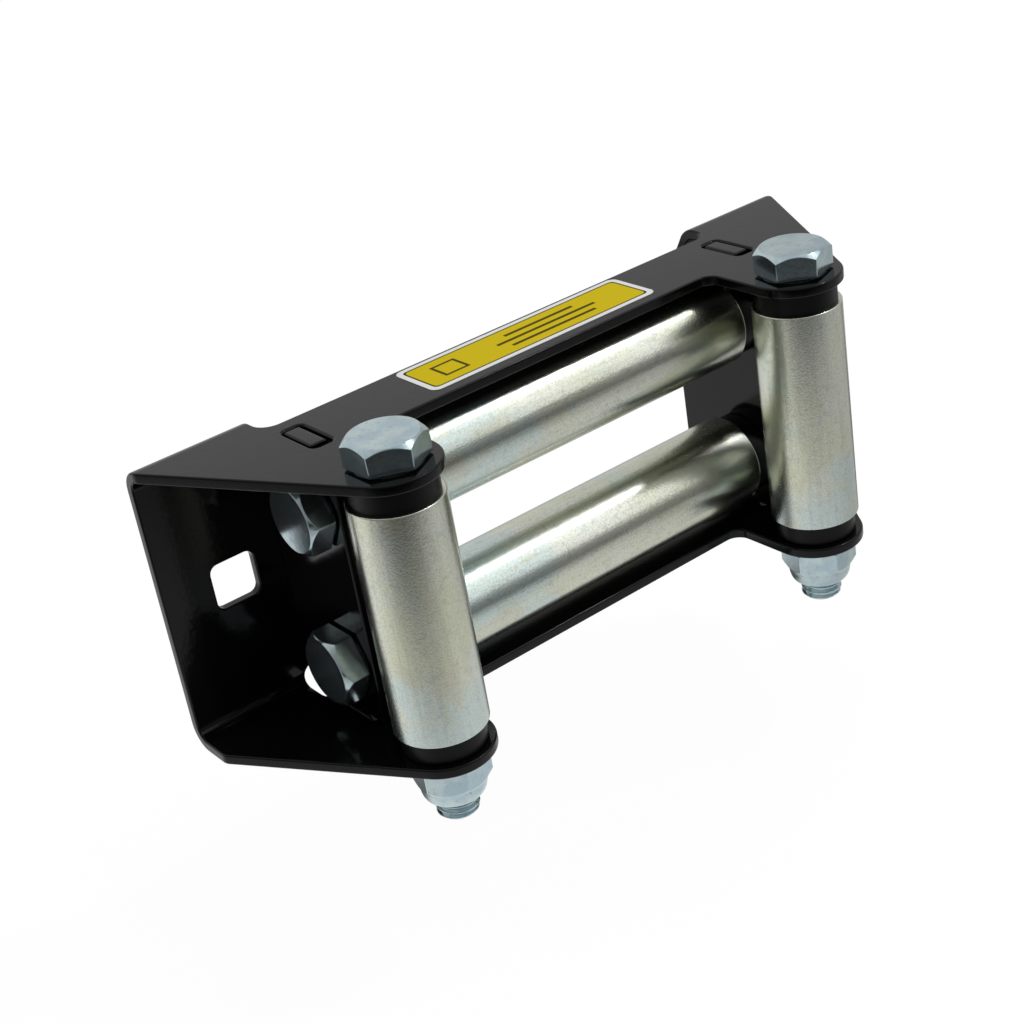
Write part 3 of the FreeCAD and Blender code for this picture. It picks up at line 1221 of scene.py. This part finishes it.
@dataclass(frozen=True)
class PassivatedTube(Finish):
    """Zinc-plated tube: silvery, with yellow and blue tints, drawn streaks and dull patches."""

    slot = "zinc_tube"
    silver: Triple = (0.62, 0.635, 0.565)
    straw: Triple = (0.58, 0.595, 0.45)
    blue: Triple = (0.50, 0.60, 0.60)
    amber: Triple = (0.54, 0.50, 0.36)
    dull: Triple = (0.36, 0.375, 0.33)
    streaks: Pattern = Pattern(900.0, 5.0, 0.6, (1.0, 1.0, 0.06))
    clouds: Pattern = Pattern(70.0, 5.0, 0.6, (1.0, 1.0, 0.45))
    tints: Pattern = Pattern(95.0, 4.0, 0.6)
    flecks: Pattern = Pattern(520.0, 5.0, 0.65)
    grains: Pattern = Pattern(2300.0, 2.0, 0.5)
    straw_cover: Triple = (0.50, 0.12, 0.85)
    blue_end: Pair = (15.0 * MM, 9.0 * MM)
    blue_cover: Triple = (0.60, 0.08, 0.5)
    blue_strength: float = 0.8
    amber_cover: Pair = (0.55, 0.05)
    amber_end: Pair = (10.5 * MM, 6.0 * MM)
    amber_strength: float = 0.55
    fleck_cover: Triple = (0.60, 0.06, 0.30)
    streak_cover: Triple = (0.57, 0.10, 0.18)
    grain_cover: Triple = (0.56, 0.12, 0.34)
    end_wander: float = 0.06
    roughness: float = 0.09
    rough_shares: Triple = (0.12, 0.10, 0.08)
    fleck_height: float = 0.6
    relief: Pair = (0.05 * MM, 0.5)

    def paint(self, graph: Graph) -> None:
        """Tints in large clouds, bluer at one end, streaks along the tube and a fine grain.

        Args:
            graph: the material's graph.
        """
        own = graph.own()
        streak, cloud, tint, fleck, grain = graph.noises(
            own, self.streaks, self.clouds, self.tints, self.flecks, self.grains
        )
        end = graph.axis(own, "Z") * -1.0 + (tint - 0.5) * self.end_wander
        blue = end.over(*self.blue_end).math("MAXIMUM", tint.cover(*self.blue_cover))
        amber = cloud.over(*self.amber_cover) * end.over(*self.amber_end)
        colour = self.silver
        for cover, tone in (
            (cloud.cover(*self.straw_cover), self.straw),
            (blue * self.blue_strength, self.blue),
            (amber * self.amber_strength, self.amber),
            (fleck.cover(*self.fleck_cover), self.dull),
            (streak.cover(*self.streak_cover), self.dull),
            (grain.cover(*self.grain_cover), self.dull),
        ):
            colour = graph.mixed(cover, colour, tone)
        graph.surface(
            Base_Color=colour,
            Metallic=1.0,
            Roughness=graph.uneven(self.roughness, self.rough_shares, cloud, streak, grain),
            Normal=graph.bump(streak + fleck * self.fleck_height + grain, *self.relief),
        )


@dataclass(frozen=True)
class BrightZinc(Finish):
    """Zinc-plated fastener: bright and bluish, with soft forging marks."""

    slot = "zinc_bolt"
    bright: Triple = (0.50, 0.60, 0.61)
    blue: Triple = (0.33, 0.44, 0.50)
    dull: Triple = (0.30, 0.33, 0.35)
    clouds: Pattern = Pattern(160.0, 4.0, 0.6)
    flecks: Pattern = Pattern(700.0, 5.0, 0.65)
    dents: Pattern = Pattern(380.0, 3.0, 0.5)
    blue_cover: Triple = (0.50, 0.14, 0.7)
    fleck_cover: Triple = (0.62, 0.06, 0.5)
    metallic: float = 0.94
    roughness: float = 0.06
    rough_shares: Pair = (0.10, 0.10)
    fleck_height: float = 0.4
    relief: Pair = (0.05 * MM, 0.4)

    def paint(self, graph: Graph) -> None:
        """Blue clouds, dull flecks and soft dents.

        Args:
            graph: the material's graph.
        """
        cloud, fleck, dent = graph.noises(graph.own(), self.clouds, self.flecks, self.dents)
        colour = graph.mixed(cloud.cover(*self.blue_cover), self.bright, self.blue)
        colour = graph.mixed(fleck.cover(*self.fleck_cover), colour, self.dull)
        graph.surface(
            Base_Color=colour,
            Metallic=self.metallic,
            Roughness=graph.uneven(self.roughness, self.rough_shares, cloud, fleck),
            Normal=graph.bump(dent + fleck * self.fleck_height, *self.relief),
        )


@dataclass(frozen=True)
class MouldedBlack(Finish):
    """Moulded black plastic of the bushings, satin with faint turning marks."""

    slot = "black_bushing"
    rings: Pattern = Pattern(2600.0, 3.0, 0.6, (0.04, 0.04, 1.0))
    clouds: Pattern = Pattern(240.0, 3.0)
    roughness: float = 0.24
    rough_shares: Pair = (0.15, 0.10)
    specular: float = 0.16
    relief: Pair = (0.03 * MM, 0.3)

    def paint(self, graph: Graph) -> None:
        """Satin black with rings that follow the height.

        Args:
            graph: the material's graph.
        """
        ring, cloud = graph.noises(graph.own(), self.rings, self.clouds)
        graph.surface(
            Base_Color=graph.mixed(cloud, DEEP_BLACK, PALE_BLACK),
            Roughness=graph.uneven(self.roughness, self.rough_shares, cloud, ring),
            Specular_IOR_Level=self.specular,
            Normal=graph.bump(ring, *self.relief),
        )


@dataclass(frozen=True)
class NaturalNylon(Finish):
    """Cream nylon of the lock nuts' rings."""

    slot = "nylon"
    cream: Triple = (0.62, 0.60, 0.52)
    shade: Triple = (0.50, 0.47, 0.38)
    clouds: Pattern = Pattern(500.0)
    roughness: float = 0.35
    rough_share: float = 0.2

    def paint(self, graph: Graph) -> None:
        """Cloudy cream.

        Args:
            graph: the material's graph.
        """
        cloud = graph.noise(graph.own(), self.clouds)
        roughness = graph.uneven(self.roughness, (self.rough_share,), cloud)
        graph.surface(Base_Color=graph.mixed(cloud, self.cream, self.shade), Roughness=roughness)


@dataclass(frozen=True)
class PrintedLabel(Finish):
    """Printed matt vinyl: white border, thin black line and a yellow field with plain bars."""

    slot = "sticker"
    white: Triple = (0.92, 0.93, 0.92)
    yellow: Triple = (0.74, 0.57, 0.005)
    black: Triple = (0.03, 0.027, 0.006)
    border: float = 1.35 * MM
    line: float = 0.45 * MM
    corner: float = 2.0 * MM
    blur: float = 0.06 * MM
    square_x: float = -22.5 * MM
    square_outer: float = 3.4 * MM
    square_inner: float = 2.6 * MM
    bars_x: float = 5.5 * MM
    bar_reach: float = 14.5 * MM
    bar_half: float = 0.55 * MM
    bar_gap: float = 3.0 * MM
    bar_shares: Triple = (0.7, 1.0, 0.85)
    ink_strength: float = 0.92
    wear: Pattern = Pattern(500.0)
    roughness: float = 0.3
    rough_share: float = 0.2
    specular: float = 0.015

    def inside(self, x: Term, y: Term, middle: Pair, half: Pair) -> Term:
        """One inside a rectangle and 0 outside, the product of a smooth step for each axis.

        Args:
            x: the first coordinate.
            y: the second coordinate.
            middle: the rectangle's centre.
            half: its half sizes.

        Returns:
            The mask.
        """
        across = (x - middle[0]).math("ABSOLUTE")
        along = (y - middle[1]).math("ABSOLUTE")
        return (1 - across.over(half[0], self.blur)) * (1 - along.over(half[1], self.blur))

    def paint(self, graph: Graph) -> None:
        """Fields by distance from the label's edge; a square outline and three bars on them.

        Args:
            graph: the material's graph.
        """
        own = graph.own()
        x, y = graph.axis(own, "X"), graph.axis(own, "Y")
        in_x, in_y = (half - way.math("ABSOLUTE") for half, way in zip(LABEL_HALF, (x, y)))
        depth = in_x.math("SMOOTH_MIN", in_y, self.corner)
        past_border = depth.over(self.border, self.blur)
        past_line = depth.over(self.border + self.line, self.blur)
        seat, outer, inner = (self.square_x, 0.0), self.square_outer, self.square_inner
        ink = self.inside(x, y, seat, (outer, outer))
        ink = ink * (1 - self.inside(x, y, seat, (inner, inner)))
        for row, share in zip((1, 0, -1), self.bar_shares):
            middle = (self.bars_x, row * self.bar_gap)
            half = (self.bar_reach * share, self.bar_half)
            ink = ink.math("MAXIMUM", self.inside(x, y, middle, half))
        colour = graph.mixed(past_border, self.white, self.black)
        colour = graph.mixed(past_line, colour, self.yellow)
        colour = graph.mixed(ink * past_line * self.ink_strength, colour, self.black)
        wear = graph.noise(own, self.wear)
        roughness = graph.uneven(self.roughness, (self.rough_share,), wear)
        graph.surface(Base_Color=colour, Roughness=roughness, Specular_IOR_Level=self.specular)


@dataclass(frozen=True)
class Finishes:
    """All finishes of the fairlead."""

    coat: Finish = GlossBlackCoat()
    tube: Finish = PassivatedTube()
    fastener: Finish = BrightZinc()
    bushing: Finish = MouldedBlack()
    nylon: Finish = NaturalNylon()
    label: Finish = PrintedLabel()


@dataclass(frozen=True)
class SoftLamp:
    """Rectangular soft lamp."""

    name: str
    seat: Triple
    size: Pair
    power: float

    def hang(self, target: Triple) -> None:
        """Adds the lamp, aimed at a point.

        Args:
            target: the point.
        """
        data = bpy.data.lights.new(self.name, "AREA")
        data.shape, data.size, data.size_y = "RECTANGLE", *self.size
        data.energy = self.power
        turn = (Vector(target) - Vector(self.seat)).to_track_quat("-Z", "Y").to_matrix().to_4x4()
        linked(self.name, data).matrix_world = Matrix.Translation(self.seat) @ turn


@dataclass
class Studio:
    """White sweep, soft boxes and the camera at the photograph's angle.

    Glossy surfaces see the white surroundings too, which darken towards the open side of the
    studio; on the floor this is a painted glow that fades out there.  A pair of an edge and a blur
    is a step in what they see.
    """

    floor_height: float = -0.085
    floor_reach: float = 6.0
    floor_thickness: float = 0.01
    floor_matt: float = 0.15
    floor_camera: float = 0.90
    open_side: Triple = (-0.559, -0.829, 0.0)
    mirrored: float = 0.88
    gloom: float = 0.30
    diffuse_share: float = 0.90
    # where the floor's painted glow fades out towards the open side
    sweep_end: Pair = (0.215, 0.15)
    gloom_start: Pair = (0.62, 0.18)
    right_start: Pair = (0.06, 0.15)
    right_loss: float = 0.44
    # painted shadow of the part on the floor's glow: the strip's front, rear and left edges and how
    # much it dims
    under_front: Pair = (-0.01, 0.015)
    under_rear: Pair = (0.03, 0.015)
    under_left: Pair = (-0.095, 0.015)
    under_loss: float = 0.85
    world_open: Pair = (-0.02, 0.45)
    world_slope: float = 0.5
    world_right: Pair = (0.55, 0.20)
    world_right_loss: float = 0.30
    eye: Triple = (-0.228671, -0.341044, 0.192104)
    turn: Triple = (1.905321, -0.766087, 0.263716)
    focal_px: float = 1858.686
    frame_px: float = 1024.0
    sensor: float = 36.0
    clip: Pair = (0.01, 50.0)
    target: Triple = (0, -0.03, 0)
    lamps: tuple[SoftLamp, ...] = (
        SoftLamp("soft box", (0.57, -0.66, 0.64), (0.9, 0.9), 2.2),
        SoftLamp("key", (0.62, -0.34, 0.97), (0.07, 0.07), 1.0),
    )

    def camera(self) -> None:
        """Camera whose rotation vector gives right, down and forward of the picture."""
        data = bpy.data.cameras.new("camera")
        data.sensor_width = self.sensor
        data.lens = self.focal_px / self.frame_px * self.sensor
        data.clip_start, data.clip_end = self.clip
        vector = np.array(self.turn)
        angle = float(np.linalg.norm(vector))
        right, down, forward = Matrix.Rotation(angle, 3, Vector(vector / angle)).row
        turn = Matrix((right, -down, -forward)).transposed()
        seat = linked("camera", data)
        seat.matrix_world = Matrix.Translation(self.eye) @ turn.to_4x4()
        bpy.context.scene.camera = seat

    def by_ray(self, graph: Graph, for_camera: float, for_glossy: Term) -> Term:
        """Strength of a background by the kind of ray that meets it.

        Args:
            graph: the background's graph.
            for_camera: strength that the camera sees.
            for_glossy: strength that glossy and see-through surfaces show; matt surfaces are
                lit by a share of it.

        Returns:
            The strength.
        """
        camera, glossy, passed = (
            graph.value(f"Is {kind} Ray", "ShaderNodeLightPath")
            for kind in ("Camera", "Glossy", "Transmission")
        )
        mirror = glossy.math("MAXIMUM", passed)
        rest = (1 - camera).math("MINIMUM", 1 - mirror)
        return camera * for_camera + (mirror + rest * self.diffuse_share) * for_glossy

    def floor(self) -> None:
        """Large pale floor: white for the camera apart from the shadow on it.

        What glossy surfaces see of it is a glow painted on it, not light that falls on it: it fades
        out towards the open side, gives way to gloom beyond it, weakens to the right and holds a
        painted shadow of the part in a strip below the mounting face.
        """
        far, top = self.floor_reach, self.floor_height
        outline = rectangle((0, 0), (far, far), 0)
        slab = Shape.prism(outline, Plane.XY, top - self.floor_thickness, top)
        floor = slab.mesh("floor", Place())
        material = bpy.data.materials.new("PaleFloor")
        graph = Graph(material)
        own = graph.own()
        # painted light: the floor's glow is bright behind the part, fades towards the open side and
        # weakens to the right
        reach = graph.along(own, self.open_side)
        x, y = graph.axis(own, "X"), graph.axis(own, "Y")
        right = x.cover(*self.right_start, self.right_loss)
        mirror = (1 - reach.over(*self.sweep_end)) * (1 - right)
        mirror = mirror + reach.cover(*self.gloom_start, self.gloom)
        # painted shadow of the part: the floor's glow is dimmed in a strip under it
        under = y.over(*self.under_front) * (1 - y.over(*self.under_rear))
        under = under * x.over(*self.under_left)
        mirror = mirror * (1 - under * self.under_loss)
        glow = self.by_ray(graph, self.floor_camera, mirror)
        pale = graph.value("Is Camera Ray", "ShaderNodeLightPath") * self.floor_matt
        matt = graph.value("BSDF", "ShaderNodeBsdfDiffuse", None, pale)
        lit = graph.value("Emission", "ShaderNodeEmission", None, WHITE, glow)
        both = graph.value("Shader", "ShaderNodeAddShader", None, matt, lit)
        graph.node("ShaderNodeOutputMaterial", None, both)
        floor.data.materials.append(material)

    def world(self) -> None:
        """White surround for the camera and for glossy surfaces, dim on the open side."""
        world = bpy.data.worlds.new("surround")
        bpy.context.scene.world = world
        graph = Graph(world)
        way = graph.value("Generated", "ShaderNodeTexCoord")
        open_side = graph.along(way, self.open_side) - graph.axis(way, "Z") * self.world_slope
        right = graph.axis(way, "X").cover(*self.world_right, self.world_right_loss)
        mirror = open_side.cover(*self.world_open, self.gloom - self.mirrored) + self.mirrored
        strength = self.by_ray(graph, 1.0, mirror * (1 - right))
        back = graph.value("Background", "ShaderNodeBackground", None, WHITE, strength)
        graph.node("ShaderNodeOutputWorld", None, back)

    def build(self) -> None:
        """Sets up the whole studio."""
        bpy.context.scene.view_settings.view_transform = "Standard"
        self.camera()
        self.floor()
        self.world()
        for lamp in self.lamps:
            lamp.hang(self.target)
        log.info("studio ready")


def rollers(gauge: Gauge, finishes: Finishes) -> list[GuideRoller]:
    """The four rollers, from the frame's places.

    Args:
        gauge: shared sizes.
        finishes: shared finishes.

    Returns:
        Two upright rollers and two lying ones.
    """
    made = []
    for name, side, head_turn, nut_turn in (
        ("left_roller", -1, 31, 18), ("right_roller", 1, 20, 13)
    ):
        low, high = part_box(name + "_sleeve")
        middle = (side * gauge.upright_x, gauge.upright_y, 0.0)
        made.append(GuideRoller(
            gauge, name, ("top", "bottom"), Place(middle, Way.UPRIGHT, UPRIGHT_SHIFT * (2 + side)),
            radius=(high.x - low.x) / 2, room=2 * gauge.flange_inner, wall=gauge.sheet,
            head_turn=head_turn, nut_turn=nut_turn, finishes=finishes,
        ))
    for name, level in (("upper_roller", 1), ("lower_roller", -1)):
        low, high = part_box(name + "_sleeve")
        middle = (0.0, gauge.lying_y, level * gauge.lying_z)
        made.append(GuideRoller(
            gauge, name, ("left", "right"), Place(middle, Way.LYING, LYING_SHIFT * (3 + level)),
            radius=(high.z - low.z) / 2, room=2 * gauge.plate_x - gauge.plate_thickness,
            wall=gauge.plate_thickness, head_turn=30, nut_turn=30, finishes=finishes,
        ))
    return made


def main() -> None:
    """Builds the fairlead and its studio."""
    logging.basicConfig(level=logging.INFO, format="%(name)s: %(message)s")
    gauge, finishes = Gauge.from_frame(), Finishes()
    FoldedFrame(gauge, finishes.coat).build()
    SidePlates(gauge, finishes.coat).build()
    for roller in rollers(gauge, finishes):
        roller.build()
    Sticker(gauge, finishes.label).build()
    Studio().build()


if __name__ == "__main__":
    main()
